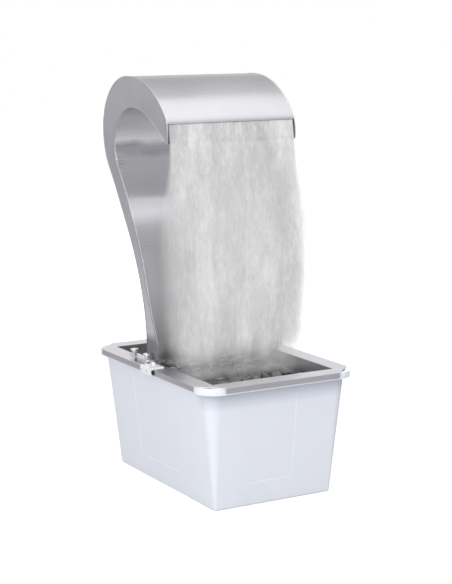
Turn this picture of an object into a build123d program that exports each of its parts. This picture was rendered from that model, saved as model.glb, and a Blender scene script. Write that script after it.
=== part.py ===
"""Garden fountain: a hollow stainless-steel blade that curls over at the top and pours a sheet of water on a
tray of pebbles. The tray hangs in a plastic basin, which holds the pump.

Millimetres. +Z is up, and the blade pours towards -Y. The origin is at the middle of the basin's underside.
The blade's outlines give heights over the tray's flange, which above() counts from the origin."""

import os
from math import asin, cos, degrees, radians, sin, tan

from build123d import *

# Driving dimensions
RIM_X, RIM_Y, RIM_Z = 340.0, 480.0, 245.0  # the tray's flange over all, and the height of its top
OPEN_X, OPEN_Y = 266.0, 406.0  # the opening in the flange
SHEET = 1.5  # tray steel
LIP_H = 10.5  # the flange's down-turned edge
CORNER_CUT = 45.0  # how much each corner of the flange is cut off
TRAY_DEPTH = 56.0  # from the flange's top to the underside of the tray's ledge
LEDGE = 12.0
GRID_T = 1.2
SLOT_L, SLOT_W, SLOT_PITCH_X, SLOT_PITCH_Y = 34.0, 5.0, 46.0, 20.0  # the drain slots of the grid
HOSE_HOLE_R = 20.0
GAP = 0.3  # between pieces that move apart

BASIN_TOP_X, BASIN_TOP_Y = 312.0, 452.0  # the tapered wall, carried up to the rim's top
BASIN_FOOT_X, BASIN_FOOT_Y = 258.0, 400.0
BASIN_WALL, BASIN_FLOOR = 3.0, 4.0
BASIN_TOP_R, BASIN_FOOT_R = 28.0, 6.0
BASIN_FOOT_EDGE = 3.0
BASIN_RIM_X, BASIN_RIM_Y, BASIN_RIM_H, BASIN_RIM_R = 335.4, 475.4, 12.0, 40.0
POCKET_X, POCKET_Y, POCKET_R = 316.0, 456.0, 30.0  # inside the rim, where the flange's nuts hang
WALL_TOP = RIM_Z - SHEET - GAP
PANEL_DEPTH = 0.6  # the shallow moulded panels in the basin's walls
PANEL_Z0, PANEL_Z1 = 45.0, 215.0
SIDE_PANEL_Y0, SIDE_PANEL_Y1 = -65.0, 92.0
END_PANEL_X0, END_PANEL_X1 = -64.0, 39.0
LEAD_NOTCH = 12.0

BLADE_X = 283.4  # width of the blade, over its two side panels
PANEL = 1.5  # thickness of a side panel
SKIN = 1.2  # thickness of the blade's front and back sheets
BLADE_FOOT = 8.0  # the blade's foot stands this far above the flange
BLADE_DEEP = 46.0  # the blade's thickness at its foot
FOOT_PLATE = 3.0
CURL_Y, CURL_Z, CURL_R = 117.0, 444.0, 113.0  # the curl's back, seen from the side
CREST_Y, CREST_R = 105.0, 190.0  # the curl's longer front slope starts here
HOLLOW_Y, HOLLOW_Z, HOLLOW_R = 96.0, 416.5, 81.0  # the round hollow under the curl
UNDER_R, UNDER_TURN = 160.0, 28.8  # the underside, from the hollow's top towards the lower lip
BROW_Y = -44.0  # the front slope ends here and turns down to the upper lip
UPPER_LIP_Y, UPPER_LIP_Z = -50.5, 472.0
LOWER_LIP_Y, LOWER_LIP_Z = -50.0, 433.5
NOSE_Y, NOSE_TOP, NOSE_LOW = -53.0, 460.0, 439.0  # the side panels' upright front edge

EAR_X0, EAR_X1, EAR_Y0, EAR_Y1, EAR_T = 122.0, 158.0, 17.5, 98.0, 3.0
SCREW_X, SCREW_YS, SCREW_R = 150.5, (30.0, 85.0), 3.0
SCREW_HEAD_R, SCREW_HEAD_Z, SCREW_HEAD_T = 8.0, 16.0, 3.0
NUT_H, NUT_FLATS = 5.0, 10.0

PIPE_R, PIPE_WALL = 7.0, 1.0  # the riser inside the blade
SPREADER_Y, SPREADER_Z, SPREADER_R, SPREADER_WALL = 5.0, 498.5, 13.0, 1.2
INLET_Y = 23.0  # the water inlet, in the middle of the blade's foot
INLET_LOW = -42.0
HOSE_R, HOSE_BORE = 9.5, 7.0
HOSE_TOP = -18.0

CLIP_Y0, CLIP_Y1, CLIP_T = -27.0, 16.5, 2.0
CLIP_IN, CLIP_OUT, CLIP_LOW = 143.0, 172.4, -14.0
CLIP_SCREW_YS, CLIP_SCREW_Z = (8.0, -11.0), -6.0
GROMMET_Y, GROMMET_Z, GROMMET_R, GROMMET_NECK, GROMMET_BORE = -34.0, -5.2, 4.8, 3.6, 2.5

PUMP_X, PUMP_Y = 12.0, 32.0  # the pump's outlet, and the plane of its impeller
PUMP_W, PUMP_L, PUMP_Z0, PUMP_Z1 = 68.0, 78.0, 12.0, 78.0
AXIS_Z = 43.0  # height of the rotor's axis
PUMP_FRONT = -14.0  # the pump's front face, measured from the outlet
ROTOR_R, CAN_R, CAN_WALL, SHAFT_R = 12.0, 12.6, 1.4, 1.5
CHAMBER_R, IMPELLER_R = 22.0, 19.5
RUNNING = 0.05  # radial clearance of a running fit
STATOR_R, CORE_R, COIL_R = 27.0, 26.0, 24.0  # the space behind the chamber, and what fills it
BOOT_R = 11.0  # the collars of the outlet and of the inlet barb
STRAINER_L = 30.0
KNOB_R, KNOB_PIN = 12.0, 4.0
NOZZLE_TOP = 104.0
LOW, HIGH = PUMP_Z0 - AXIS_Z, PUMP_Z1 - AXIS_Z  # the housing's bottom and top, measured from the axis
REAR = PUMP_FRONT + PUMP_L
CORNER_R = 8.0  # the housing's long edges
LEAD_Z = 22.0  # height of the lead's inlet over the axis
CUP_CLEAR = 0.05  # between a suction cup and the basin's floor

STONE_PITCH, STONE_L, STONE_W, STONE_H = 31.0, 27.0, 23.0, 14.0
STONE_LAYERS = (-45.5, -30.5)  # heights of the layers' middles above the flange


def above(z):
    """The height over the origin of a height over the tray's flange."""
    return RIM_Z + z


def along_y(radius, y0, y1):
    """A round rod along Y."""
    return Pos(0, (y0 + y1) / 2, 0) * Rot(90, 0, 0) * Cylinder(radius, y1 - y0)


def block(x0, x1, y0, y1, z0, z1):
    """A box between two corners."""
    return Pos((x0 + x1) / 2, (y0 + y1) / 2, (z0 + z1) / 2) * Box(x1 - x0, y1 - y0, z1 - z0)


def rod(radius, z0, z1):
    """An upright round rod."""
    return Pos(0, 0, (z0 + z1) / 2) * Cylinder(radius, z1 - z0)


def group(shapes):
    """Several separate solids as one node."""
    return Compound(children=[solid for shape in shapes for solid in shape.solids()])


# ---------------------------------------------------------------- basin


def tapered(inset, z0, z1):
    """The solid inside the basin's tapered wall, shrunk by inset all round, between two heights."""
    sections = []
    for z in (z0, z1):
        share = z / WALL_TOP
        x = BASIN_FOOT_X + (BASIN_TOP_X - BASIN_FOOT_X) * share - 2 * inset
        y = BASIN_FOOT_Y + (BASIN_TOP_Y - BASIN_FOOT_Y) * share - 2 * inset
        r = BASIN_FOOT_R + (BASIN_TOP_R - BASIN_FOOT_R) * share - inset
        sections.append(Pos(0, 0, z) * RectangleRounded(x, y, r))
    return loft(sections)


def basin():
    """The tub, with a stiff rim, shallow panels in its walls and a notch for the pump's lead."""
    body = tapered(0, 0, WALL_TOP)
    body = fillet(body.faces().sort_by(Axis.Z)[0].edges(), BASIN_FOOT_EDGE)
    rim = extrude(RectangleRounded(BASIN_RIM_X, BASIN_RIM_Y, BASIN_RIM_R), BASIN_RIM_H)
    body += Pos(0, 0, WALL_TOP - BASIN_RIM_H) * rim
    recess = tapered(-1, PANEL_Z0, PANEL_Z1) - tapered(PANEL_DEPTH, PANEL_Z0 - 1, PANEL_Z1 + 1)
    body -= recess & block(-RIM_X, RIM_X, SIDE_PANEL_Y0, SIDE_PANEL_Y1, PANEL_Z0, PANEL_Z1)
    body -= recess & block(END_PANEL_X0, END_PANEL_X1, -RIM_Y, RIM_Y, PANEL_Z0, PANEL_Z1)
    body -= tapered(BASIN_WALL, BASIN_FLOOR, WALL_TOP + 1)
    pocket = extrude(RectangleRounded(POCKET_X, POCKET_Y, POCKET_R), BASIN_RIM_H)
    body -= Pos(0, 0, WALL_TOP - BASIN_RIM_H + BASIN_WALL) * pocket
    notch_y0, notch_y1 = GROMMET_Y - LEAD_NOTCH / 2, GROMMET_Y + LEAD_NOTCH / 2
    return body - block(-RIM_X, -BASIN_TOP_X / 2 + 10, notch_y0, notch_y1, above(-LEAD_NOTCH), RIM_Z)


# ---------------------------------------------------------------- tray


def stone_tray():
    """The flange with its folded edge, the walls and the ledge that carries the drain grid."""
    flange = chamfer(Rectangle(RIM_X, RIM_Y).vertices(), CORNER_CUT)
    tray = extrude(flange, SHEET)
    half_x, half_y = RIM_X / 2, RIM_Y / 2
    for side in (-1, 1):
        lip_x = Box(SHEET, RIM_Y - 2 * CORNER_CUT, LIP_H)
        lip_y = Box(RIM_X - 2 * CORNER_CUT, SHEET, LIP_H)
        tray += Pos(side * (half_x - SHEET / 2), 0, SHEET - LIP_H / 2) * lip_x
        tray += Pos(0, side * (half_y - SHEET / 2), SHEET - LIP_H / 2) * lip_y
    inner_x, inner_y = OPEN_X / 2, OPEN_Y / 2
    low = SHEET - TRAY_DEPTH
    tray += block(-inner_x - SHEET, inner_x + SHEET, -inner_y - SHEET, inner_y + SHEET, low, 0)
    tray -= block(-inner_x, inner_x, -inner_y, inner_y, low + SHEET, 2 * SHEET)
    shelf_x, shelf_y = inner_x - LEDGE, inner_y - LEDGE
    tray -= block(-shelf_x, shelf_x, -shelf_y, shelf_y, low - 1, low + 2 * SHEET)
    for x in (-1, 1):
        for y in (-1, 1):  # the mitre seam of each corner
            seam = Rot(0, 0, x * y * 45) * Box(34, 0.7, 0.7)
            tray -= Pos(x * (inner_x + 11), y * (inner_y + 11), SHEET) * seam
        for y in SCREW_YS:
            tray -= Pos(x * SCREW_X, y, SHEET) * Cylinder(SCREW_R + 0.3, 4 * SHEET)
    hole = Rot(0, 90, 0) * Cylinder(GROMMET_NECK, 6)
    tray -= Pos(-half_x, GROMMET_Y, SHEET + GROMMET_Z) * hole
    return Pos(0, 0, RIM_Z - SHEET) * tray


def drain_grid():
    """The slotted sheet under the pebbles, with the hole that the hose passes through."""
    grid = Box(OPEN_X - 1, OPEN_Y - 1, GRID_T)
    slot = extrude(SlotOverall(SLOT_L, SLOT_W), 2 * GRID_T, both=True)
    for place in GridLocations(SLOT_PITCH_X, SLOT_PITCH_Y, 5, 18):
        if abs(place.position.X) > 1 or abs(place.position.Y - INLET_Y) > 30:
            grid -= place * slot
    grid -= Pos(0, INLET_Y, 0) * Cylinder(HOSE_HOLE_R, 4 * GRID_T)
    return Pos(0, 0, above(-TRAY_DEPTH + SHEET + GRID_T / 2)) * grid


def pebbles(layer):
    """One layer of river stones on a staggered grid. Their sizes and turns vary by a fixed rule."""
    stones = []
    rows = 13
    for row in range(rows):
        y = (row - (rows - 1) / 2) * STONE_PITCH * 0.95
        shift = STONE_PITCH / 4 * (1 if (row + layer) % 2 else -1)
        for column in range(9):
            x = (column - 4) * STONE_PITCH + shift
            under_foot = abs(x) < 36 and abs(y - INLET_Y) < 34
            if abs(x) > OPEN_X / 2 - STONE_L / 2 - 2 or under_foot:
                continue
            wobble = sin(12.9 * row + 78.2 * column + 3.1 * layer)
            size = 1 + 0.07 * wobble
            stone = scale(Sphere(0.5), by=(STONE_L * size, STONE_W * size, STONE_H))
            place = Pos(x, y, above(STONE_LAYERS[layer]) + 0.2 * wobble)
            stones.append(place * Rot(4 * wobble, 0, 90 + 80 * wobble) * stone)
    return group(stones)


# ---------------------------------------------------------------- blade


def back_line(sole):
    """The outer outline seen from the side, from the sole over the curl to the edge of the upper lip."""
    turn = radians(38)
    start = (CURL_Y + CURL_R * cos(turn), CURL_Z - CURL_R * sin(turn))
    foot = Line((BLADE_DEEP, sole), (BLADE_DEEP, 30))
    rise = Spline(
        [foot @ 1, (66, 140), (103, 222), (155, 302), start],
        tangents=[(0, 1), (sin(turn), cos(turn))],
    )
    rear = CenterArc((CURL_Y, CURL_Z), CURL_R, -38, 128)
    crest_z = CURL_Z + CURL_R
    crest = Line((CURL_Y, crest_z), (CREST_Y, crest_z))
    reach = degrees(asin((CREST_Y - BROW_Y) / CREST_R))
    slope = CenterArc((CREST_Y, crest_z - CREST_R), CREST_R, 90, reach)
    brow = Spline([slope @ 1, (UPPER_LIP_Y, UPPER_LIP_Z)], tangents=[slope % 1, (-0.3, -0.954)])
    return [foot, rise, rear, crest, slope, brow]


def front_line(sole):
    """The inner outline, from the sole round the hollow to the edge of the lower lip."""
    turn = radians(37)
    start = (HOLLOW_Y + HOLLOW_R * cos(turn), HOLLOW_Z - HOLLOW_R * sin(turn))
    foot = Line((0, sole), (0, 14))
    rise = Spline(
        [foot @ 1, (4, 42), (19, 78), (48, 153), (77, 229), (116, 301), start],
        tangents=[(0, 1), (sin(turn), cos(turn))],
    )
    hollow = CenterArc((HOLLOW_Y, HOLLOW_Z), HOLLOW_R, -37, 127)
    under = CenterArc((HOLLOW_Y, HOLLOW_Z + HOLLOW_R - UNDER_R), UNDER_R, 90, UNDER_TURN)
    heading = (-cos(radians(UNDER_TURN)), -sin(radians(UNDER_TURN)))
    lip = Spline([under @ 1, (-15, 456.5), (LOWER_LIP_Y, LOWER_LIP_Z)], tangents=[heading, (-0.86, -0.51)])
    return [foot, rise, hollow, under, lip]


def side_face():
    """The whole side outline as a flat face, with its heights over the flange."""
    back, front = back_line(BLADE_FOOT), front_line(BLADE_FOOT)
    nose_top = Spline([back[-1] @ 1, (NOSE_Y, NOSE_TOP)], tangents=[back[-1] % 1, (0, -1)])
    nose = Line((NOSE_Y, NOSE_TOP), (NOSE_Y, NOSE_LOW))
    tip = Line((NOSE_Y, NOSE_LOW), (LOWER_LIP_Y, LOWER_LIP_Z))
    sole = Line((0, BLADE_FOOT), (BLADE_DEEP, BLADE_FOOT))
    return make_face([*back, nose_top, nose, tip, *front, sole])


def beside(lines, distance):
    """The lines that run at a distance on the left of a smooth chain of lines."""
    result = []
    for line in lines:
        points = []
        for k in range(11):
            along = line % (k / 10)
            points.append(line @ (k / 10) + Vector(-along.Y, along.X) * distance)
        if result:
            points[0] = result[-1] @ 1
        if line.geom_type == GeomType.LINE:
            result.append(Line(points[0], points[-1]))
        elif line.geom_type == GeomType.CIRCLE:
            result.append(ThreePointArc(points[0], points[5], points[-1]))
        else:
            result.append(Spline(points, tangents=[line % 0, line % 1]))
    return result


def across(face, x0, x1):
    """A side outline carried across the blade from x0 to x1."""
    return Pos(x0, 0, RIM_Z) * extrude(Plane.YZ * face, x1 - x0)


def side_panel(side):
    outer, inner = side * BLADE_X / 2, side * (BLADE_X / 2 - PANEL)
    return across(side_face(), min(outer, inner), max(outer, inner))


def sheet(lines, inwards):
    """A bent sheet between the side panels, whose outer side follows the lines."""
    inner = beside(lines, inwards)
    face = make_face([*lines, Line(lines[-1] @ 1, inner[-1] @ 1), *inner, Line(inner[0] @ 0, lines[0] @ 0)])
    half = BLADE_X / 2 - PANEL
    return across(face, -half, half)


def back_sheet():
    return sheet(back_line(BLADE_FOOT + FOOT_PLATE), SKIN)


def front_sheet():
    return sheet(front_line(BLADE_FOOT + FOOT_PLATE), -SKIN)


def foot_plate():
    half = BLADE_X / 2 - PANEL
    z = above(BLADE_FOOT)
    plate = block(-half, half, 0, BLADE_DEEP, z, z + FOOT_PLATE)
    return plate - Pos(0, INLET_Y, z) * Cylinder(PIPE_R, 10)


def ear(side):
    """A plate under the blade's foot that reaches over the flange, where two screws level and hold it."""
    outline = block(EAR_X0, EAR_X1, EAR_Y0, EAR_Y1, 0, EAR_T)
    outline -= block(EAR_X0 - 1, BLADE_X / 2 - 1, BLADE_DEEP, EAR_Y1 + 1, -1, EAR_T + 1)
    outer = outline.edges().filter_by(Axis.Z).sort_by(Axis.X)[-2:]
    outline = fillet(outer, 7)
    for y in SCREW_YS:
        outline -= Pos(SCREW_X, y, 0) * Cylinder(SCREW_R + 0.3, 4 * EAR_T)
    outline = Pos(0, 0, above(BLADE_FOOT - EAR_T)) * outline
    return outline if side > 0 else mirror(outline, Plane.YZ)


def screw_places():
    return [Pos(x * SCREW_X, y, above(0)) for x in (-1, 1) for y in SCREW_YS]


def levelling_screw():
    """A screw with a wide flat head, which stands up from the flange."""
    head = rod(SCREW_HEAD_R, SCREW_HEAD_Z, SCREW_HEAD_Z + SCREW_HEAD_T)
    head = fillet(head.edges().sort_by(Axis.Z)[-1], 1.2)
    return head + rod(SCREW_R, -9, SCREW_HEAD_Z)


def nut(z0, height):
    hexagon = extrude(RegularPolygon(NUT_FLATS / 2, 6, major_radius=False), height)
    return Pos(0, 0, z0) * hexagon - rod(SCREW_R, z0 - 1, z0 + height + 1)


def riser_path():
    points = [
        (INLET_Y, BLADE_FOOT + FOOT_PLATE),
        (INLET_Y, 46),
        (61, 160),
        (99, 246),
        (160, 340),
        (205, 396),
        (208, 460),
        (166, 516),
        (100, 529),
        (52, 519),
        (SPREADER_Y + 11, SPREADER_Z + 5),
    ]
    return Plane.YZ * FilletPolyline(*points, radius=[tangent_radius(*points[i : i + 3]) for i in range(9)])


def tangent_radius(a, b, c):
    """The largest radius that leaves a tenth of the shorter run straight."""
    first, second = Vector(*b) - Vector(*a), Vector(*c) - Vector(*b)
    half_turn = radians(first.get_angle(second)) / 2
    return 0.45 * min(first.length, second.length) / tan(half_turn)


def riser_rod(radius):
    path = riser_path()
    start = Plane(path @ 0, z_dir=path % 0)
    return Pos(0, 0, RIM_Z) * sweep(start * Circle(radius), path)


def riser_pipe():
    return riser_rod(PIPE_R) - riser_rod(PIPE_R - PIPE_WALL)


def spreader_pipe():
    """The cross pipe behind the mouth, with a row of holes that spreads the water over the lower lip."""
    half = BLADE_X / 2 - PANEL - 4
    pipe = Rot(0, 90, 0) * Cylinder(SPREADER_R, 2 * half)
    pipe -= Rot(0, 90, 0) * Cylinder(SPREADER_R - SPREADER_WALL, 2 * half - 4)
    for place in GridLocations(16, 1, 17, 1):
        pipe -= place * Rot(-55, 0, 0) * Pos(0, -SPREADER_R, 0) * Rot(90, 0, 0) * Cylinder(2.5, 8)
    return Pos(0, SPREADER_Y, above(SPREADER_Z)) * pipe - riser_rod(PIPE_R)


def spreader_bracket(x):
    """A sheet bracket between the front sheet and the cross pipe."""
    web = block(x - 6, x + 6, -8, 20, above(450), above(SPREADER_Z))
    pipe = Pos(x, SPREADER_Y, above(SPREADER_Z)) * Rot(0, 90, 0) * Cylinder(SPREADER_R, 20)
    return (web - pipe - front_sheet()).solids().sort_by(Axis.Z)[-1]


def riser_clip():
    z = above(430)
    return block(-11, 11, 197, 226.5, z - 6, z + 6) - riser_rod(PIPE_R)


# ---------------------------------------------------------------- water inlet and hose


def inlet_barb():
    """The hose tail that is screwed through the foot plate and feeds the riser."""
    tail = rod(PIPE_R, INLET_LOW, BLADE_FOOT + FOOT_PLATE)
    tail += rod(BOOT_R, BLADE_FOOT - 4.5, BLADE_FOOT - 1.5)
    tail -= rod(PIPE_R - 2, INLET_LOW - 1, BLADE_FOOT + FOOT_PLATE + 1)
    return Pos(0, INLET_Y, RIM_Z) * tail


def inlet_washer():
    washer = rod(BOOT_R, BLADE_FOOT - 1.5, BLADE_FOOT) - rod(PIPE_R, 0, 20)
    return Pos(0, INLET_Y, RIM_Z) * washer


def inlet_locknut():
    z = BLADE_FOOT - 4.5
    hexagon = Pos(0, 0, z - NUT_H) * extrude(RegularPolygon(BOOT_R, 6, major_radius=False), NUT_H)
    return Pos(0, INLET_Y, RIM_Z) * (hexagon - rod(PIPE_R, z - 6, z + 1))


def hose_path():
    top, low = above(HOSE_TOP), PUMP_Z1 + 7
    bend = 38.0
    points = [
        (PUMP_X, PUMP_Y, low),
        (PUMP_X, PUMP_Y, low + bend),
        (0, INLET_Y, top - bend),
        (0, INLET_Y, top),
    ]
    return FilletPolyline(*points, radius=[tangent_radius(*points[i : i + 3]) for i in range(2)])


def delivery_hose():
    path = hose_path()
    start = Plane(path @ 0, z_dir=path % 0)
    return sweep(start * (Circle(HOSE_R) - Circle(HOSE_BORE)), path)


def hose_clamp():
    """A worm-drive band with its screw housing."""
    band = rod(HOSE_R + 1, -4.5, 4.5)
    band += Pos(HOSE_R + 3, 0, 0) * Box(6, 13, 9)
    return band - rod(HOSE_R, -6, 6)


def hose_clamps():
    upper = Pos(0, INLET_Y, above(HOSE_TOP - 8)) * Rot(0, 0, 90) * hose_clamp()
    lower = Pos(PUMP_X, PUMP_Y, PUMP_Z1 + 15) * Rot(0, 0, 90) * hose_clamp()
    return group([upper, lower])


# ---------------------------------------------------------------- pump, about its rotor's axis along Y

PUMP_PLACE = Pos(PUMP_X, PUMP_Y, AXIS_Z)


def pump_body():
    """The housing: strainer seat and impeller chamber in front, rotor can, and stator space behind."""
    half = PUMP_W / 2
    body = block(-half, half, PUMP_FRONT, REAR, LOW, HIGH)
    body = fillet(body.edges().filter_by(Axis.Y), CORNER_R)
    body -= block(-half + 4, half - 4, PUMP_FRONT - 1, PUMP_FRONT + 5, LOW + 4, HIGH - 4)
    body -= along_y(CHAMBER_R, PUMP_FRONT + 4, 7)
    body -= along_y(STATOR_R, 10, REAR + 1) - along_y(CAN_R + CAN_WALL, 9, 50)
    body -= along_y(CAN_R, 6, 48)
    body -= rod(PIPE_R - 2, 15, HIGH + 1)
    return PUMP_PLACE * body


def pump_outlet():
    """The hose tail on top of the impeller chamber."""
    nozzle = rod(BOOT_R, HIGH, HIGH + 5) + rod(HOSE_BORE, HIGH + 4, NOZZLE_TOP - AXIS_Z)
    return PUMP_PLACE * (nozzle - rod(PIPE_R - 2, HIGH - 1, NOZZLE_TOP))


def stator_core():
    core = along_y(CORE_R, 14, 34) - along_y(CAN_R + CAN_WALL + 0.2, 13, 35)
    return PUMP_PLACE * core


def stator_coil():
    coil = along_y(COIL_R, 34.5, 46) - along_y(CAN_R + CAN_WALL + 0.2, 34, 47)
    return PUMP_PLACE * coil


def pump_back_cover():
    half = PUMP_W / 2
    cover = block(-half, half, REAR, REAR + 4, LOW, HIGH)
    cover = fillet(cover.edges().filter_by(Axis.Y), CORNER_R)
    return PUMP_PLACE * (cover - Pos(0, 0, LEAD_Z) * along_y(5, REAR - 1, REAR + 5))


def lead_gland():
    """The sealed inlet of the pump's lead."""
    gland = along_y(5, REAR, REAR + 4) + along_y(7.5, REAR + 4, REAR + 12)
    return PUMP_PLACE * Pos(0, 0, LEAD_Z) * (gland - along_y(2.4, REAR - 1, REAR + 13))


def impeller_rotor():
    """The round magnet and the impeller on its front, as one moulded piece."""
    rotor = along_y(ROTOR_R, 5.2, 44) + along_y(IMPELLER_R, 3.2, 5.2)
    for k in range(6):
        rotor += Rot(0, 60 * k, 0) * block(5, IMPELLER_R - 0.5, -5, 3.2, -1, 1)
    rotor += along_y(5.5, -5, 3.5)
    return PUMP_PLACE * (rotor - along_y(SHAFT_R + RUNNING, -9, 46))


def rotor_shaft():
    return PUMP_PLACE * along_y(SHAFT_R, -8, 48)


def shaft_bushes():
    front = along_y(4, -9.5, -6) - along_y(SHAFT_R, -8, -5)
    rear = along_y(6, 45, 48) - along_y(SHAFT_R, 44, 49)
    return group([PUMP_PLACE * front, PUMP_PLACE * rear])


def chamber_cover():
    """The round cover with the intake hole, which holds the front bush on three spokes."""
    cover = along_y(CHAMBER_R, -9.5, -6.5) - along_y(11, -10, -6)
    for k in range(3):
        cover += Rot(0, 30 + 120 * k, 0) * block(3, 12, -9.5, -7, -1.2, 1.2)
    return PUMP_PLACE * (cover - along_y(4, -10, -6))


def pump_strainer():
    """The slotted front cover, which pulls off forwards."""
    half = PUMP_W / 2
    back, front = PUMP_FRONT - GAP, PUMP_FRONT - STRAINER_L
    cover = block(-half, half, front, back, LOW, HIGH)
    cover = fillet(cover.edges().filter_by(Axis.Y), CORNER_R)
    cover = fillet(cover.faces().sort_by(Axis.Y)[0].edges(), 3)
    cover -= block(-half + 2.5, half - 2.5, front + 2.5, back + 1, LOW + 2.5, HIGH - 2.5)
    for k in range(9):
        x = (k - 4) * 6.6
        if abs(x) > 14:
            cover -= block(x - 1.3, x + 1.3, front - 1, front + 4, LOW + 10, HIGH - 10)
    for k in range(4):
        y = front + 7 + 5.2 * k
        for side in (-1, 1):
            cover -= block(side * half - 4, side * half + 4, y - 1.2, y + 1.2, LOW + 12, HIGH - 12)
    return PUMP_PLACE * (cover - along_y(KNOB_PIN + RUNNING, front - 1, front + 6))


def flow_knob():
    """The dial on the strainer that opens and closes its intake."""
    front = PUMP_FRONT - STRAINER_L
    dial = along_y(KNOB_R, front - 5 - GAP, front - GAP)
    dial += block(-1.5, 1.5, front - 7.5, front - 5, -10.5, 10.5)
    dial += along_y(KNOB_PIN, front - GAP, front + 2.5 + GAP)
    dial += along_y(6, front + 2.5 + GAP, front + 4)
    return PUMP_PLACE * dial


def filter_sponge():
    half = PUMP_W / 2 - 3.5
    front = PUMP_FRONT - STRAINER_L + 6
    return PUMP_PLACE * block(-half, half, front, PUMP_FRONT - 4, LOW + 3.5, HIGH - 3.5)


def suction_feet():
    """Four rubber cups, plugged into the pump's underside."""
    base = BASIN_FLOOR + CUP_CLEAR
    top = PUMP_Z0 - base
    profile = Polyline((0, 2.7), (6, 0), (10, 0), (4, 6.7), (4, top), (0, top), close=True)
    cup = revolve(Plane.XZ * make_face(profile), Axis.Z)
    places = [(x, y) for x in (-24, 24) for y in (PUMP_FRONT + 12, REAR - 12)]
    return group([Pos(PUMP_X + x, PUMP_Y + y, base) * cup for x, y in places])


# ---------------------------------------------------------------- lead clip


def lead_clip():
    """A plastic saddle on the left flange, which holds the pump's lead."""
    clip = block(-CLIP_OUT, -CLIP_IN, CLIP_Y0, CLIP_Y1, 0, CLIP_T)
    clip += block(-CLIP_OUT, -RIM_X / 2 - 0.1, CLIP_Y0, CLIP_Y1, CLIP_LOW, CLIP_T)
    clip = fillet(clip.edges().filter_by(Axis.Y).sort_by(Axis.X)[:2], 0.8)
    clip += block(-CLIP_IN - 8, -CLIP_IN - 5.5, -1.5, 9, CLIP_T - 0.5, 6)
    for y in CLIP_SCREW_YS:
        clip -= Pos(-CLIP_OUT, y, CLIP_SCREW_Z) * Rot(0, 90, 0) * Cylinder(1.2, 8)
    return Pos(0, 0, RIM_Z) * clip


def clip_screws():
    """Two small screws through the clip's outer leg into the flange's folded edge."""
    screws = []
    for y in CLIP_SCREW_YS:
        screw = Pos(-0.6, 0, 0) * Rot(0, 90, 0) * Cylinder(2.2, 1.2)
        screw += Pos(1.15, 0, 0) * Rot(0, 90, 0) * Cylinder(1.2, 2.3)
        screws.append(Pos(-CLIP_OUT, y, above(CLIP_SCREW_Z)) * screw)
    return group(screws)


def lead_grommet():
    """The rubber ring in the flange's folded edge where the pump's lead comes out."""
    flange_x, neck_x = RIM_X / 2 + 1.8, RIM_X / 2 - SHEET
    ring = Pos(-(RIM_X / 2 + flange_x) / 2, 0, 0) * Rot(0, 90, 0) * Cylinder(GROMMET_R, 1.8)
    ring += Pos(-(RIM_X / 2 + neck_x) / 2, 0, 0) * Rot(0, 90, 0) * Cylinder(GROMMET_NECK, SHEET)
    ring -= Pos(-RIM_X / 2, 0, 0) * Rot(0, 90, 0) * Cylinder(GROMMET_BORE, 12)
    return Pos(0, GROMMET_Y, above(GROMMET_Z)) * ring


# ---------------------------------------------------------------- all nodes

NODES = {
    "basin": basin(),
    "stone_tray": stone_tray(),
    "drain_grid": drain_grid(),
    "lower_pebbles": pebbles(0),
    "upper_pebbles": pebbles(1),
    "left_side_panel": side_panel(-1),
    "right_side_panel": side_panel(1),
    "blade_front_sheet": front_sheet(),
    "blade_back_sheet": back_sheet(),
    "foot_plate": foot_plate(),
    "left_ear": ear(-1),
    "right_ear": ear(1),
    "levelling_screws": group([place * levelling_screw() for place in screw_places()]),
    "ear_nuts": group([place * nut(z, NUT_H) for place in screw_places() for z in (0, BLADE_FOOT)]),
    "flange_nuts": group([place * nut(-SHEET - 4, 4) for place in screw_places()]),
    "riser_pipe": riser_pipe(),
    "riser_clip": riser_clip(),
    "spreader_pipe": spreader_pipe(),
    "spreader_brackets": group([spreader_bracket(x) for x in (-100, 100)]),
    "inlet_barb": inlet_barb(),
    "inlet_washer": inlet_washer(),
    "inlet_locknut": inlet_locknut(),
    "delivery_hose": delivery_hose(),
    "hose_clamps": hose_clamps(),
    "pump_body": pump_body(),
    "pump_outlet": pump_outlet(),
    "stator_core": stator_core(),
    "stator_coil": stator_coil(),
    "pump_back_cover": pump_back_cover(),
    "lead_gland": lead_gland(),
    "impeller_rotor": impeller_rotor(),
    "rotor_shaft": rotor_shaft(),
    "shaft_bushes": shaft_bushes(),
    "chamber_cover": chamber_cover(),
    "pump_strainer": pump_strainer(),
    "filter_sponge": filter_sponge(),
    "flow_knob": flow_knob(),
    "suction_feet": suction_feet(),
    "lead_clip": lead_clip(),
    "clip_screws": clip_screws(),
    "lead_grommet": lead_grommet(),
}

os.makedirs("parts", exist_ok=True)
for name, shape in NODES.items():
    export_step(shape, f"parts/{name}.step")
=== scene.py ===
"""The looks of the garden fountain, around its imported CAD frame: brushed steel, frosted plastic, wet river
stones and the falling sheet of water. Metres, in the CAD's own frame."""

import math
import random

import bmesh
import bpy
from mathutils import Matrix, Vector, noise


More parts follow.
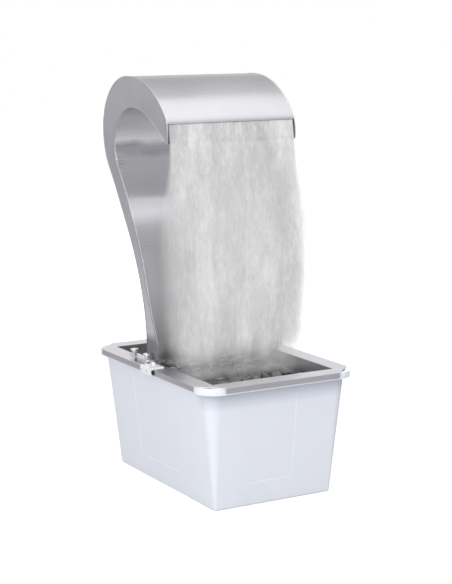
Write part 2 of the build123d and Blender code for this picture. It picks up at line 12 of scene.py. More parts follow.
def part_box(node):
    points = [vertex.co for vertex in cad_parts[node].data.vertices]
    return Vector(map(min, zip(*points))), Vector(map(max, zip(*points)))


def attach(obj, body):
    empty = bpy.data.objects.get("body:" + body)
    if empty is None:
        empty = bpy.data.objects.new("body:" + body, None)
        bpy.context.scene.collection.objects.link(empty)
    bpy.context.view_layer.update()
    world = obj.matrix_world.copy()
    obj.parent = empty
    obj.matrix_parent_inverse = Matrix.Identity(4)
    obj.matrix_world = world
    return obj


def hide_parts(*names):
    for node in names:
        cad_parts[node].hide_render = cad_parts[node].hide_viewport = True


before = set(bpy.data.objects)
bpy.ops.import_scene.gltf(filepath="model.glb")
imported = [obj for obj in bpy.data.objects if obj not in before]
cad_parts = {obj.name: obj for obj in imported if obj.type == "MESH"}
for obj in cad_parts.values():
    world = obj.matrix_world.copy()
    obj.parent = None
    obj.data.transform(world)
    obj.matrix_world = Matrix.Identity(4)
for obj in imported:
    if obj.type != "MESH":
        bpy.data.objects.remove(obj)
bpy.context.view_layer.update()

# Places taken from the frame: the corner of each node's box with the greatest x, y and z
TRAY_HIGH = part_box("stone_tray")[1]
BACK_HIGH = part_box("blade_back_sheet")[1]
FRONT_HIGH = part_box("blade_front_sheet")[1]
STONES_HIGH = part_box("upper_pebbles")[1]
GRID_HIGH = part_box("drain_grid")[1]
BLADE_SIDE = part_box("right_side_panel")[1].x
FLANGE_Z = TRAY_HIGH.z

# Corners closer than this are one corner, and a corner this close to a plane lies in it
SAME_PLACE, SAME_PLANE = 1e-6, 1e-5


# ---------------------------------------------------------------- camera, light and floor


# The photograph's view, solved from the straight edges of the flange and the basin, with angles in degrees
CAMERA_AZIMUTH, CAMERA_ELEVATION, CAMERA_ROLL = -29.64, 9.84, -0.37
CAMERA_PLACE = (-1.5152, -2.6844, FLANGE_Z + 0.667)
CAMERA_LENS, CAMERA_SENSOR, CAMERA_REACH = 97.14, 36, 60


def add_camera():
    """The camera that sees the object as the photograph does."""
    camera = bpy.data.objects.new("camera", bpy.data.cameras.new("camera"))
    bpy.context.scene.collection.objects.link(camera)
    azimuth, elevation = math.radians(CAMERA_AZIMUTH), math.radians(CAMERA_ELEVATION)
    roll = math.radians(CAMERA_ROLL)
    back = Vector(
        (
            math.sin(azimuth) * math.cos(elevation),
            -math.cos(azimuth) * math.cos(elevation),
            math.sin(elevation),
        )
    )
    right = (-back).cross(Vector((0, 0, 1))).normalized()
    up = back.cross(right)
    turned_right = right * math.cos(roll) + up * math.sin(roll)
    turned_up = up * math.cos(roll) - right * math.sin(roll)
    turn = Matrix((turned_right, turned_up, back)).transposed().to_4x4()
    camera.matrix_world = Matrix.Translation(CAMERA_PLACE) @ turn
    camera.data.lens = CAMERA_LENS
    camera.data.sensor_width = CAMERA_SENSOR
    camera.data.clip_end = CAMERA_REACH
    bpy.context.scene.camera = camera


def add_world():
    """A soft studio: bright overhead, dimmer at the horizon, so that the steel shows bands. The camera itself
    sees plain white behind the object."""
    world = bpy.data.worlds.new("studio")
    bpy.context.scene.world = world
    world.use_nodes = True
    tree = Tree(world.node_tree)
    world.node_tree.nodes.clear()
    band = tree.grey(
        tree.share(tree.place("Generated")["Z"], -1.0, 1.0),
        [
            (0.0, 0.6), (0.40, 0.6), (0.47, 0.36), (0.52, 0.36),
            (0.60, 1.0), (0.68, 0.66), (0.80, 0.74), (0.92, 1.0),
        ],
    )
    seen = tree.add("ShaderNodeBackground", {"Color": (1, 1, 1, 1), "Strength": 1.0})
    lit = tree.add("ShaderNodeBackground", {"Color": band, "Strength": 1.0})
    camera_ray = tree.add("ShaderNodeLightPath").outputs["Is Camera Ray"]
    mix = tree.add("ShaderNodeMixShader", {0: camera_ray, 1: lit.outputs[0], 2: seen.outputs[0]})
    tree.add("ShaderNodeOutputWorld", {"Surface": mix.outputs[0]})


def add_area_light(name, place, target, size, power):
    """A rectangular lamp that faces its target. Its size is in metres and its power in watts."""
    light = bpy.data.lights.new(name, "AREA")
    light.shape = "RECTANGLE"
    light.size, light.size_y = size
    light.energy = power
    lamp = bpy.data.objects.new(name, light)
    bpy.context.scene.collection.objects.link(lamp)
    lamp.location = place
    lamp.rotation_euler = (Vector(target) - Vector(place)).to_track_quat("-Z", "Y").to_euler()


def add_lights():
    """Three soft lamps around the fountain, and a faint one under the lip for the hollow behind the water."""
    middle = (0, 0, 0.35)
    add_area_light("top_softbox", (0.2, -0.9, 2.6), middle, (3.2, 2.4), 19)
    add_area_light("left_softbox", (-2.4, -1.6, 1.2), middle, (1.4, 1.8), 31)
    add_area_light("front_fill", (-1.3, -2.4, 0.45), (0, 0, 0.15), (1.6, 0.8), 7)
    hollow = (0, FRONT_HIGH.y - 0.02, FLANGE_Z + 0.34)
    add_area_light("light_behind_the_water", (0, -0.005, FLANGE_Z + 0.428), hollow, (0.26, 0.035), 0.02)


def add_floor():
    """A pale floor. The camera sees it nearly white, and it throws a dimmer grey back on the object."""
    mesh = bpy.data.meshes.new("floor")
    half = 12.0
    corners = [(-half, -half, 0), (half, -half, 0), (half, half, 0), (-half, half, 0)]
    mesh.from_pydata(corners, [], [(0, 1, 2, 3)])
    floor = bpy.data.objects.new("floor", mesh)
    bpy.context.scene.collection.objects.link(floor)
    material, tree, shader = new_material("floor")
    seen = tree.add("ShaderNodeLightPath").outputs["Is Camera Ray"]
    tree.feed(shader.inputs["Base Color"], tree.mix(seen, (0.43, 0.43, 0.44, 1), (0.95, 0.95, 0.95, 1)))
    shader.inputs["Roughness"].default_value = 0.9
    shader.inputs["Specular IOR Level"].default_value = 0.1
    shader.inputs["Emission Color"].default_value = (1, 1, 1, 1)
    tree.feed(shader.inputs["Emission Strength"], tree.maths("MULTIPLY", seen, 0.35))
    mesh.materials.append(material)


# ---------------------------------------------------------------- material tools


class Tree:
    """Short calls for a node tree."""

    def __init__(self, tree):
        self.tree = tree

    def add(self, kind, inputs=None, **settings):
        node = self.tree.nodes.new(kind)
        for key, value in settings.items():
            setattr(node, key, value)
        for key, value in (inputs or {}).items():
            self.feed(node.inputs[key], value)
        return node

    def feed(self, socket, value):
        if isinstance(value, bpy.types.NodeSocket):
            self.tree.links.new(value, socket)
        else:
            socket.default_value = value

    def place(self, kind="Object"):
        """The coordinates X, Y and Z: the object's own, or the sky's with the kind Generated."""
        point = self.add("ShaderNodeTexCoord").outputs[kind]
        return self.add("ShaderNodeSeparateXYZ", {"Vector": point}).outputs

    def share(self, value, low, high):
        """0 where the value is low or beyond it, 1 where it is high or beyond it, and even between."""
        return self.add("ShaderNodeMapRange", {"Value": value, "From Min": low, "From Max": high}).outputs[0]

    def ramp(self, value, stops):
        """A colour by value. The stops are pairs of a value from 0 to 1 and a colour."""
        node = self.add("ShaderNodeValToRGB", {0: value})
        ramp = node.color_ramp
        while len(ramp.elements) < len(stops):
            ramp.elements.new(0.5)
        for element, (place, colour) in zip(ramp.elements, stops):
            element.position = place
            element.color = (*colour, 1)
        return node.outputs[0]

    def grey(self, value, stops):
        """A ramp whose stops give a level of grey."""
        return self.ramp(value, [(place, (level, level, level)) for place, level in stops])

    def noise(self, scale, stretch=(1, 1, 1), detail=4.0, roughness=0.55, offset=(0, 0, 0)):
        """Noise over the object's own coordinates, stretched along its axes."""
        place = self.add("ShaderNodeTexCoord").outputs["Object"]
        mapping = self.add("ShaderNodeMapping", {"Vector": place, "Scale": stretch, "Location": offset})
        return self.add(
            "ShaderNodeTexNoise",
            {"Vector": mapping.outputs[0], "Scale": scale, "Detail": detail, "Roughness": roughness},
        ).outputs[0]

    def maths(self, operation, a, b=0.0):
        return self.add("ShaderNodeMath", {0: a, 1: b}, operation=operation).outputs[0]

    def mix(self, factor, a, b):
        """A colour between a and b. The colour sockets have no names of their own, so they go by number."""
        node = self.add("ShaderNodeMix", data_type="RGBA")
        for socket, value in ((node.inputs[0], factor), (node.inputs[6], a), (node.inputs[7], b)):
            self.feed(socket, value)
        return node.outputs[2]

    def bump(self, height, strength, distance):
        node = self.add("ShaderNodeBump", {"Height": height, "Strength": strength, "Distance": distance})
        return node.outputs[0]


def new_material(name):
    material = bpy.data.materials.new(name)
    material.use_nodes = True
    return material, Tree(material.node_tree), material.node_tree.nodes["Principled BSDF"]


def brushed_steel(name, along, base, rough=0.27, by_height=(), drift=0.02):
    """Satin stainless steel with a faint grain along one axis and soft cloudy patches. base is how light it
    is. by_height gives heights over the flange and what base is multiplied by there, and drift is how far
    the clouds move those heights up and down. These bands are painted reflections and painted shade."""
    material, tree, shader = new_material(name)
    long, fine = 2.0, 260.0
    stretch = {"x": (long, fine, fine), "y": (fine, long, fine), "z": (fine, fine, long)}[along]
    grain = tree.noise(6.0, stretch, detail=4.0, roughness=0.6)
    clouds = tree.noise(11.0, detail=3.0, roughness=0.6)
    level = tree.maths("ADD", tree.maths("MULTIPLY", grain, 0.07), tree.maths("MULTIPLY", clouds, 0.22))
    level = tree.maths("ADD", level, 0.855)
    # Painted light and shade: the lightness is multiplied by bands over the height
    if by_height:
        shift = tree.maths("MULTIPLY", tree.maths("SUBTRACT", clouds, 0.5), drift)
        height = tree.maths("ADD", tree.place()["Z"], shift)
        low, high = by_height[0][0], by_height[-1][0]
        rise = tree.share(height, FLANGE_Z + low, FLANGE_Z + high)
        painted_bands = tree.grey(rise, [((z - low) / (high - low), times) for z, times in by_height])
        level = tree.maths("MULTIPLY", level, painted_bands)
    tint = tree.mix(clouds, (0.955, 0.95, 1.0, 1), (0.975, 0.955, 1.0, 1))
    shade = tree.add("ShaderNodeVectorMath", {0: tint}, operation="SCALE")
    tree.feed(shade.inputs["Scale"], tree.maths("MULTIPLY", level, base))
    tree.feed(shader.inputs["Base Color"], shade.outputs[0])
    shader.inputs["Metallic"].default_value = 1.0
    gloss = tree.maths("ADD", tree.maths("MULTIPLY", grain, 0.07), tree.maths("MULTIPLY", clouds, 0.10))
    tree.feed(shader.inputs["Roughness"], tree.maths("ADD", gloss, rough - 0.085))
    tree.feed(shader.inputs["Normal"], tree.bump(grain, 0.02, 0.0002))
    return material


def bright_steel():
    """The polished steel of screws, nuts and clamps."""
    material, tree, shader = new_material("bright_steel")
    marks = tree.noise(420.0, detail=3.0)
    tree.feed(shader.inputs["Base Color"], tree.mix(marks, (0.8, 0.8, 0.81, 1), (0.92, 0.92, 0.92, 1)))
    shader.inputs["Metallic"].default_value = 1.0
    tree.feed(shader.inputs["Roughness"], tree.grey(marks, [(0.3, 0.14), (0.7, 0.3)]))
    tree.feed(shader.inputs["Normal"], tree.bump(marks, 0.06, 0.0003))
    return material


def moulded(name, low, high, rough, grain=900.0, bump=0.05, coat=0.0):
    """Moulded plastic or rubber with a fine grain and slight colour clouds."""
    material, tree, shader = new_material(name)
    clouds = tree.noise(16.0, detail=3.0)
    tree.feed(shader.inputs["Base Color"], tree.mix(clouds, (*low, 1), (*high, 1)))
    skin = tree.noise(grain, detail=2.0)
    tree.feed(shader.inputs["Roughness"], tree.maths("ADD", tree.maths("MULTIPLY", skin, 0.14), rough - 0.07))
    tree.feed(shader.inputs["Normal"], tree.bump(skin, bump, 0.0003))
    shader.inputs["Coat Weight"].default_value = coat
    return material


def turned_metal(name, low, high):
    """Turned brass or wound copper: fine rings about the upright axis."""
    material, tree, shader = new_material(name)
    rings = tree.noise(60.0, (0.2, 0.2, 30.0), detail=3.0)
    clouds = tree.noise(30.0, detail=3.0)
    tree.feed(shader.inputs["Base Color"], tree.mix(clouds, (*low, 1), (*high, 1)))
    shader.inputs["Metallic"].default_value = 1.0
    tree.feed(shader.inputs["Roughness"], tree.grey(clouds, [(0.3, 0.3), (0.7, 0.5)]))
    tree.feed(shader.inputs["Normal"], tree.bump(rings, 0.15, 0.0003))
    return material


# The painted shadow under the flange on the basin's front wall: how far it reaches down from the flange,
# and from which y to which it comes on
FLANGE_SHADOW_DEPTH, FLANGE_SHADOW_FROM_Y, FLANGE_SHADOW_FULL_Y = 0.050, -0.17, -0.21


def frosted_basin():
    """Translucent white polypropylene: milky, a little blue, with the moulding's faint flow marks."""
    material, tree, shader = new_material("frosted_basin")
    clouds = tree.noise(5.0, (1, 1, 0.6), detail=3.0)
    flow = tree.noise(16.0, (1.4, 1.4, 0.12), detail=4.0)
    colour = tree.mix(clouds, (0.83, 0.86, 0.96, 1), (0.87, 0.90, 0.98, 1))
    colour = tree.mix(tree.maths("MULTIPLY", flow, 0.3), colour, (0.90, 0.925, 0.99, 1))
    # Painted shadow: the front wall is darkened just below the rim, where the flange would shade it
    place = tree.place()
    rise = tree.share(place["Z"], FLANGE_Z - FLANGE_SHADOW_DEPTH, FLANGE_Z)
    under = tree.grey(rise, [(0.0, 0.0), (0.70, 1.0), (0.726, 0.0)])
    under = tree.maths("MULTIPLY", under, tree.share(place["Y"], FLANGE_SHADOW_FROM_Y, FLANGE_SHADOW_FULL_Y))
    colour = tree.mix(tree.maths("MULTIPLY", under, 0.75), colour, (0.50, 0.53, 0.60, 1))
    tree.feed(shader.inputs["Base Color"], colour)
    skin = tree.noise(700.0, detail=2.0)
    tree.feed(shader.inputs["Roughness"], tree.maths("ADD", tree.maths("MULTIPLY", skin, 0.12), 0.34))
    tree.feed(shader.inputs["Normal"], tree.bump(skin, 0.05, 0.0003))
    shader.inputs["Subsurface Weight"].default_value = 0.3
    shader.inputs["Subsurface Radius"].default_value = (0.003, 0.003, 0.003)
    shader.inputs["Subsurface Scale"].default_value = 1.0
    shader.inputs["IOR"].default_value = 1.49
    return material


def wet_stone():
    """Dark river stone, wet: each stone has its own tone, with speckles and a clear film of water."""
    material, tree, shader = new_material("wet_stone")
    tone = tree.add("ShaderNodeAttribute", attribute_name="tone", attribute_type="GEOMETRY").outputs["Fac"]
    veins = tree.noise(70.0, detail=6.0, roughness=0.65)
    speckle = tree.noise(520.0, detail=3.0, roughness=0.7)
    body = tree.ramp(
        tone,
        [
            (0.0, (0.022, 0.023, 0.026)),
            (0.45, (0.060, 0.061, 0.066)),
            (0.75, (0.105, 0.104, 0.106)),
            (1.0, (0.19, 0.18, 0.17)),
        ],
    )
    lighter = tree.mix(tree.grey(veins, [(0.42, 0.0), (0.68, 0.55)]), body, (0.24, 0.235, 0.23, 1))
    colour = tree.mix(tree.grey(speckle, [(0.52, 0.0), (0.74, 0.35)]), lighter, (0.34, 0.34, 0.34, 1))
    tree.feed(shader.inputs["Base Color"], colour)
    tree.feed(shader.inputs["Roughness"], tree.grey(veins, [(0.3, 0.22), (0.7, 0.48)]))
    tree.feed(shader.inputs["Normal"], tree.bump(tree.maths("ADD", veins, speckle), 0.25, 0.0006))
    shader.inputs["Coat Weight"].default_value = 0.7
    shader.inputs["Coat Roughness"].default_value = 0.08
    return material


def falling_water():
    """The sheet of water as a long exposure shows it: white and grey streaks, clear at its torn edges."""
    material, tree, shader = new_material("falling_water")
    fade = tree.add("ShaderNodeAttribute", attribute_name="fade", attribute_type="GEOMETRY").outputs["Fac"]
    threads = tree.noise(190.0, (1.0, 1.0, 0.34), detail=4.0, roughness=0.65)
    cells = tree.noise(70.0, (1.0, 1.0, 0.36), detail=6.0, roughness=0.7, offset=(3, 1, 2))
    clouds = tree.noise(17.0, (1.0, 1.0, 0.22), detail=4.0, offset=(8, 1, 5))
    body = tree.maths("ADD", tree.maths("MULTIPLY", threads, 0.27), tree.maths("MULTIPLY", cells, 0.29))
    body = tree.maths("ADD", body, tree.maths("MULTIPLY", clouds, 0.44))
    colour = tree.ramp(
        body,
        [(0.36, (0.34, 0.343, 0.345)), (0.5, (0.45, 0.45, 0.45)), (0.64, (0.575, 0.575, 0.575))],
    )
    tree.feed(shader.inputs["Base Color"], colour)
    tree.feed(shader.inputs["Roughness"], tree.grey(threads, [(0.3, 0.45), (0.7, 0.7)]))
    tree.feed(shader.inputs["Normal"], tree.bump(body, 0.14, 0.002))
    shader.inputs["Specular IOR Level"].default_value = 0.25
    # Painted light: the water glows in its own colour, standing in for light scattered through the sheet
    tree.feed(shader.inputs["Emission Color"], colour)
    shader.inputs["Emission Strength"].default_value = 0.6
    solid = tree.grey(body, [(0.38, 0.66), (0.56, 1.0)])
    tree.feed(shader.inputs["Alpha"], tree.maths("MULTIPLY", solid, fade))
    return material


def assign(node, material):
    """Gives a CAD node, which stays as it is, its material."""
    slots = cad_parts[node].material_slots
    for slot in slots:
        slot.link = "OBJECT"
        slot.material = material


# ---------------------------------------------------------------- mesh tools


def link(name, mesh, body, slot, *replaced):
    """Puts a piece in the scene, on its body, and hides the CAD nodes that it stands for. slot is not used.
    """
    piece = bpy.data.objects.new(name, mesh)
    bpy.context.scene.collection.objects.link(piece)
    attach(piece, body)
    if replaced:
        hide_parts(*replaced)
    return piece


SHARP_ANGLE = math.radians(35)  # edges that turn more than this stay edges
FLAT_ANGLE = math.radians(0.5)  # faces that turn less than this are joined


def dress(node, body, slot, material, edge):
    """A finished copy of a CAD node: joined, with edges rounded by that much and smooth curved faces."""
    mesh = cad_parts[node].data.copy()
    mesh.name = node + "_skin"
    joined = bmesh.new()
    joined.from_mesh(mesh)
    bmesh.ops.remove_doubles(joined, verts=joined.verts, dist=SAME_PLACE)
    bmesh.ops.dissolve_limit(
        joined, angle_limit=FLAT_ANGLE, verts=joined.verts, edges=joined.edges, delimit={"NORMAL"}
    )
    for face in joined.faces:
        face.smooth = True
    joined.to_mesh(mesh)
    joined.free()
    mesh.materials.clear()
    mesh.materials.append(material)
    for polygon in mesh.polygons:
        polygon.material_index = 0
    piece = link(node + "_skin", mesh, body, slot, node)
    bevel = piece.modifiers.new("edges", "BEVEL")
    bevel.width = edge
    bevel.segments = 2
    bevel.limit_method = "ANGLE"
    bevel.angle_limit = SHARP_ANGLE
    mesh.set_sharp_from_angle(angle=SHARP_ANGLE)
    flatten = piece.modifiers.new("flat_faces", "WEIGHTED_NORMAL")
    flatten.keep_sharp = True
    flatten.weight = 100


# ---------------------------------------------------------------- stones


# Each layer's pitch and the share of its places that are filled, from the lowest
STONE_LAYERS = ((0.025, 1.0), (0.0225, 1.0), (0.026, 0.45))
STONE_LENGTHS = (0.021, 0.032)
STONE_WIDTHS, STONE_HEIGHTS = (0.66, 0.88), (0.40, 0.60)  # as shares of the length
STONE_EDGE = 0.0385  # from the tray's outside to the stones: the flange and the wall
STONE_JITTER = 0.004
STONE_LIFT = 0.004  # of the top stones that pile up at the blade's foot
HOSE_Y, HOSE_GAP = 0.023, 0.021  # the hose comes up here, and stones keep this far from its middle
FOOT_HALF, FOOT_FRONT_Y, FOOT_BACK_Y = 0.13, -0.03, 0.075  # where stones hide the blade's foot


def ball(subdivisions):
    """The corners and faces of a ball of even triangles."""
    build = bmesh.new()
    bmesh.ops.create_icosphere(build, subdivisions=subdivisions, radius=1.0)
    build.verts.ensure_lookup_table()
    corners = [vert.co.normalized() for vert in build.verts]
    faces = [[vert.index for vert in face.verts] for face in build.faces]
    build.free()
    return corners, faces


def stone_corners(corners, centre, size, turn, seed):
    """One river stone: a flattened lump with a few broad dents and a slightly squared outline."""
    offset = Vector((seed * 7.31, seed * 3.17, seed * 1.93))
    result = []
    for direction in corners:
        broad = noise.noise(direction * 1.2 + offset)
        fine = noise.noise(direction * 3.1 + offset * 2)
        squared = 0.10 * (abs(direction.x * direction.y) + abs(direction.y * direction.z))
        radius = 0.5 * (1 + squared + 0.20 * broad + 0.045 * fine)
        result.append(turn @ Vector([d * length for d, length in zip(direction, size)]) * radius + centre)
    return result


def make_stones(material):
    """Fills the tray with two full layers of stones and an uneven third one on top."""
    dice = random.Random(11)
    fine, coarse = ball(3), ball(2)
    half_x, half_y = TRAY_HIGH.x - STONE_EDGE, TRAY_HIGH.y - STONE_EDGE
    corners, faces, tones = [], [], []
    low, high = GRID_HIGH.z + 0.0075, STONES_HIGH.z - 0.008
    seed = 0
    for layer, (pitch, share) in enumerate(STONE_LAYERS):
        shape, shape_faces = coarse if layer == 0 else fine
        rows, columns = int(2 * half_y / pitch), int(2 * half_x / pitch)
        for row in range(rows):
            for column in range(columns):
                seed += 1
                spare = dice.random()
                length = dice.uniform(*STONE_LENGTHS)
                width = length * dice.uniform(*STONE_WIDTHS)
                height = length * dice.uniform(*STONE_HEIGHTS)
                shift = 0.5 * ((row + layer) % 2)
                x = -half_x + (column + 0.5 + shift * 0.9) * 2 * half_x / (columns + 0.5)
                y = -half_y + (row + 0.5) * 2 * half_y / rows
                x += dice.uniform(-1, 1) * STONE_JITTER
                y += dice.uniform(-1, 1) * STONE_JITTER
                limit_x, limit_y = half_x - length * 0.5, half_y - length * 0.5
                x, y = max(-limit_x, min(limit_x, x)), max(-limit_y, min(limit_y, y))
                z = (low, (low + high) / 2, high)[layer] + dice.uniform(-0.0025, 0.0025)
                turn = Matrix.Rotation(dice.uniform(0, math.tau), 3, "Z")
                turn = turn @ Matrix.Rotation(dice.uniform(-0.35, 0.35), 3, "X")
                turn = turn @ Matrix.Rotation(dice.uniform(-0.3, 0.3), 3, "Y")
                near_foot = abs(x) < FOOT_HALF and FOOT_FRONT_Y < y < FOOT_BACK_Y
                if (spare > share and not near_foot) or math.hypot(x, y - HOSE_Y) < HOSE_GAP:
                    continue
                z += STONE_LIFT * (layer == 2 and near_foot)
                start = len(corners)
                corners += stone_corners(shape, Vector((x, y, z)), (length, width, height), turn, seed)
                faces += [[start + index for index in face] for face in shape_faces]
                tones += [dice.random() ** 1.5] * len(shape)
    mesh = bpy.data.meshes.new("pebbles")
    mesh.from_pydata(corners, [], faces)
    tone = mesh.attributes.new("tone", "FLOAT", "POINT")
    tone.data.foreach_set("value", tones)
    mesh.shade_smooth()
    mesh.materials.append(material)
    link("pebbles", mesh, "fountain", "pebble_stone", "upper_pebbles", "lower_pebbles")


# ---------------------------------------------------------------- water


MOUTH_Z, LIP_Z, LIP_Y = FLANGE_Z + 0.4714, FLANGE_Z + 0.4335, -0.050
SHEET_TOP_Y = LIP_Y + 0.002  # it starts just behind the lip's edge
SHEET_HALF = BACK_HIGH.x - 0.002
SHEET_FOOT_Z = STONES_HIGH.z - 0.012  # it ends among the stones
SHEET_COLUMNS, SHEET_ROWS = 130, 190

# How far under the lip the sheet comes to its full spread, starts to draw in, and is thrown its full way; and
# how far down it takes to come loose and to billow
SPREAD_DROP, NARROW_DROP, THROW_DROP = 0.17, 0.24, 0.45
LOOSE_DROP, BILLOW_DROP = 0.15, 0.4

LEFT_SPREAD, LEFT_SOFTNESS = 1.35, 1.8  # the left edge spreads and frays more than the right one
SPRAY_Z, SPRAY_DEPTH = FLANGE_Z + 0.004, 0.058  # where the sheet thins out to spray, over which height


def ease(value):
    """0 up to the value 0, 1 from the value 1 on, and a smooth rise between."""
    value = max(0.0, min(1.0, value))
    return value * value * (3 - 2 * value)


def make_curtain(name, seed, ahead, throw, widen, strength, material, soft=0.034):
    """One layer of the falling sheet. It leaves the mouth over the lower lip, spreads, and thins out as
    spray above the stones. ahead is how far it runs in front of the first layer, throw how far the fall
    carries it forward, widen how far each side spreads, strength how solid it is, and soft how wide its
    torn edges fade."""
    corners, fades = [], []
    for row in range(SHEET_ROWS + 1):
        z = MOUTH_Z + (SHEET_FOOT_Z - MOUTH_Z) * row / SHEET_ROWS
        drop = max(LIP_Z - z, 0.0)
        over_lip = ease((MOUTH_Z - z) / (MOUTH_Z - LIP_Z))
        spread = widen * ease(drop / SPREAD_DROP) * (1 - 0.45 * ease((drop - NARROW_DROP) / NARROW_DROP))
        forward = 0.004 * over_lip + ahead + throw * math.sqrt(drop / THROW_DROP)
        loose = ease(drop / LOOSE_DROP)
        billow = loose * (1 + 0.8 * ease(drop / BILLOW_DROP))
        for column in range(SHEET_COLUMNS + 1):
            across = 2 * column / SHEET_COLUMNS - 1
            reach = SHEET_HALF + spread * (LEFT_SPREAD if across < 0 else 1.0)
            x = across * reach
            ripple = noise.noise(Vector((x * 30, z * 4.0, seed * 5.1)))
            fine = noise.noise(Vector((x * 110, z * 14.0, seed * 9.7)))
            swell = noise.noise(Vector((x * 9, z * 5.0, seed * 2.3)))
            y = SHEET_TOP_Y - forward - billow * (0.005 * ripple + 0.0014 * fine + 0.006 * swell)
            side = 7.0 if across > 0 else 0.0
            tear = noise.noise(Vector((z * 13.0, seed * 3.0 + side, 1.5)))
            tear += 0.5 * noise.noise(Vector((z * 45.0, seed * 3.0 + side, 6.5)))
            edge = (1 - abs(across)) * reach - 0.007 * loose * (tear + 0.5)
            blur = 0.003 + soft * loose * (LEFT_SOFTNESS if across < 0 else 1.0)
            foot = noise.noise(Vector((x * 26.0, seed * 4.0, 3.0)))
            spray = ease((z - SPRAY_Z - 0.022 * foot) / SPRAY_DEPTH)
            fade = ease(edge / blur) * (0.20 + 0.80 * spray) * ease((z - SHEET_FOOT_Z) / 0.02)
            # Close under the mouth no point swings back behind the place where its layer starts
            corners.append((x, min(y, SHEET_TOP_Y - ahead + 0.05 * loose), z))
            fades.append(strength * fade * ease((MOUTH_Z - z) / 0.0015 + 0.5))
    width = SHEET_COLUMNS + 1
    faces = []
    for row in range(SHEET_ROWS):
        for column in range(SHEET_COLUMNS):
            start = row * width + column
            faces.append((start, start + width, start + width + 1, start + 1))
    mesh = bpy.data.meshes.new(name)
    mesh.from_pydata(corners, [], faces)
    mesh.attributes.new("fade", "FLOAT", "POINT").data.foreach_set("value", fades)
    mesh.shade_smooth()
    mesh.materials.append(material)
    link(name, mesh, "fountain", None)


# ---------------------------------------------------------------- seams


SEAM_RADIUS = 0.0007


def outline_loops(node, x):
    """The closed outlines of a node's flat face that lies at x."""
    mesh = bmesh.new()
    mesh.from_mesh(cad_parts[node].data)
    bmesh.ops.remove_doubles(mesh, verts=mesh.verts, dist=SAME_PLACE)
    neighbours = {}
    for edge in mesh.edges:
        flat = [all(abs(vert.co.x - x) < SAME_PLANE for vert in face.verts) for face in edge.link_faces]
        if sorted(flat) == [False, True]:
            one, other = edge.verts
            neighbours.setdefault(one.index, []).append(other.index)
            neighbours.setdefault(other.index, []).append(one.index)
    mesh.verts.ensure_lookup_table()
    loops, used = [], set()
    for start in sorted(neighbours):
        if start in used:
            continue
        loop, here = [], start
        while here is not None:
            used.add(here)
            loop.append(mesh.verts[here].co.copy())
            here = next((corner for corner in neighbours[here] if corner not in used), None)
        loops.append(loop)
    mesh.free()
    return loops


def add_seams(name, node, x, material):
    """The weld bead, ground smooth, where a side panel meets the blade's sheets."""
    curve = bpy.data.curves.new(name, "CURVE")
    curve.dimensions = "3D"
    curve.bevel_depth = SEAM_RADIUS
    curve.bevel_resolution = 2
    for loop in outline_loops(node, x):
        line = curve.splines.new("POLY")
        line.points.add(len(loop) - 1)
        for point, place in zip(line.points, loop):
            point.co = (*place, 1)
        line.use_cyclic_u = True
    bead = bpy.data.objects.new(name + "_line", curve)
    mesh = bpy.data.meshes.new_from_object(bead)
    bpy.data.objects.remove(bead)
    mesh.materials.clear()
    mesh.materials.append(material)
    mesh.shade_smooth()
    link(name, mesh, "fountain", "brushed_steel")


# ---------------------------------------------------------------- the pieces

# Heights over the flange, and what the steel's lightness is multiplied by there. They are set so that the
# bands are about as light and dark as the photograph's.
# Painted reflections: bright and dark bands on the front sheet, and painted shade towards its foot
FRONT_PAINTED_REFLECTIONS = (
    (0.02, 0.35), (0.08, 0.52), (0.15, 0.74), (0.24, 0.79), (0.265, 0.80), (0.29, 1.05), (0.31, 1.08),
    (0.388, 1.08), (0.405, 0.42), (0.415, 0.43), (0.428, 1.08), (0.435, 0.95), (0.45, 0.76), (0.47, 0.70),
)
# Painted light on the tray: the flange's top is lighter than its skirt, for how the light falls
TRAY_PAINTED_LIGHT = ((-0.06, 0.9), (-0.012, 0.86), (-0.0012, 0.86), (-0.0002, 1.0), (0.01, 1.0))
# Painted shade on the weld beads: darker towards the foot
SEAM_PAINTED_SHADE = ((0.0, 0.25), (0.22, 0.35), (0.32, 0.75), (0.6, 0.9))
# Painted light and shade on the side panels: darker at the foot, a painted highlight band above it
SIDE_PAINTED_LIGHT = (
    (0.008, 0.32), (0.04, 0.48), (0.06, 1.18), (0.14, 1.18), (0.28, 0.98), (0.42, 0.94), (0.6, 1.08),
)

bpy.context.scene.view_settings.view_transform = "Standard"
add_camera()
add_world()
add_lights()
add_floor()

# One stainless steel in six copies: their different base lightness is painted light and shade per part
steel_x = brushed_steel("steel_grain_x", "x", base=0.52)
steel_front = brushed_steel("steel_front", "x", base=1.0, rough=0.30, by_height=FRONT_PAINTED_REFLECTIONS)
steel_y = brushed_steel("steel_grain_y", "y", base=0.84, rough=0.3)
steel_tray = brushed_steel("steel_tray", "y", base=0.86, rough=0.3, by_height=TRAY_PAINTED_LIGHT, drift=0.0)
steel_z = brushed_steel("steel_grain_z", "z", base=0.88, rough=0.33, by_height=SIDE_PAINTED_LIGHT)
steel_seam = brushed_steel("steel_seam", "z", base=0.8, rough=0.4, by_height=SEAM_PAINTED_SHADE)
fastener = bright_steel()
basin_plastic = frosted_basin()
white_plastic = moulded("white_plastic", (0.86, 0.88, 0.9), (0.93, 0.94, 0.95), 0.35, coat=0.2)
black_plastic = moulded("black_plastic", (0.02, 0.021, 0.023), (0.035, 0.036, 0.04), 0.5)
black_rubber = moulded("black_rubber", (0.012, 0.012, 0.013), (0.03, 0.03, 0.032), 0.7, bump=0.12)
blue_plastic = moulded("blue_plastic", (0.04, 0.16, 0.36), (0.06, 0.2, 0.42), 0.42)
grey_plastic = moulded("grey_plastic", (0.45, 0.47, 0.49), (0.55, 0.57, 0.58), 0.4)
rotor_plastic = moulded("rotor_plastic", (0.10, 0.10, 0.11), (0.15, 0.15, 0.16), 0.4)
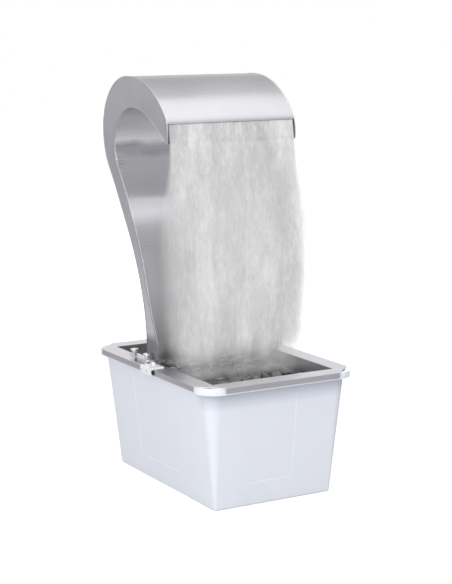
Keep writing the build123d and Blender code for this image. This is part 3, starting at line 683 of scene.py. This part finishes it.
ceramic = moulded("ceramic", (0.82, 0.81, 0.78), (0.88, 0.87, 0.85), 0.18)
brass = turned_metal("brass", (0.50, 0.40, 0.22), (0.60, 0.50, 0.30))
copper = turned_metal("copper", (0.50, 0.20, 0.10), (0.66, 0.30, 0.16))
foam = moulded("foam", (0.015, 0.015, 0.017), (0.05, 0.05, 0.055), 0.95, grain=420.0, bump=0.9)

dress("basin", "basin", "basin_plastic", basin_plastic, edge=0.0012)
dress("stone_tray", "fountain", "brushed_steel", steel_tray, edge=0.0006)
dress("left_side_panel", "fountain", "brushed_steel", steel_z, edge=0.0007)
dress("right_side_panel", "fountain", "brushed_steel", steel_z, edge=0.0007)
dress("blade_back_sheet", "fountain", "brushed_steel", steel_x, edge=0.0004)
dress("blade_front_sheet", "fountain", "brushed_steel", steel_front, edge=0.0004)
dress("foot_plate", "fountain", "brushed_steel", steel_x, edge=0.0004)
dress("left_ear", "fountain", "brushed_steel", steel_y, edge=0.0004)
dress("right_ear", "fountain", "brushed_steel", steel_y, edge=0.0004)
dress("levelling_screws", "fountain", "bright_steel", fastener, edge=0.0003)
dress("ear_nuts", "fountain", "bright_steel", fastener, edge=0.0004)
dress("lead_clip", "fountain", "clip_plastic", white_plastic, edge=0.0006)
dress("clip_screws", "fountain", "bright_steel", fastener, edge=0.0002)
dress("lead_grommet", "fountain", "black_rubber", black_rubber, edge=0.0005)

for node in ("drain_grid", "spreader_pipe", "spreader_brackets", "stator_core"):
    assign(node, steel_x)
for node in ("flange_nuts", "hose_clamps"):
    assign(node, fastener)
for node in ("inlet_barb", "inlet_locknut"):
    assign(node, brass)
assign("stator_coil", copper)
assign("impeller_rotor", rotor_plastic)
assign("rotor_shaft", ceramic)
for node in ("pump_body", "pump_outlet", "pump_back_cover", "chamber_cover", "pump_strainer", "riser_clip"):
    assign(node, black_plastic)
for node in ("lead_gland", "shaft_bushes", "suction_feet", "inlet_washer", "delivery_hose"):
    assign(node, black_rubber)
assign("riser_pipe", grey_plastic)
assign("flow_knob", blue_plastic)
assign("filter_sponge", foam)

add_seams("left_seams", "left_side_panel", -BLADE_SIDE, steel_seam)
add_seams("right_seams", "right_side_panel", BLADE_SIDE, steel_seam)
make_stones(wet_stone())
water = falling_water()
make_curtain("water_mist", 6, 0.0, -0.004, widen=0.030, strength=0.60, material=water, soft=0.06)
for number, ahead, throw, widen, strength in (
    (1, 0.0, 0.003, 0.026, 0.70),
    (2, 0.0006, 0.010, 0.030, 0.80),
    (3, 0.0012, 0.017, 0.033, 0.80),
    (4, 0.0018, 0.024, 0.030, 0.50),
    (5, 0.0024, 0.031, 0.026, 0.34),
):
    make_curtain(f"water_sheet_{number}", number, ahead, throw, widen, strength, water)
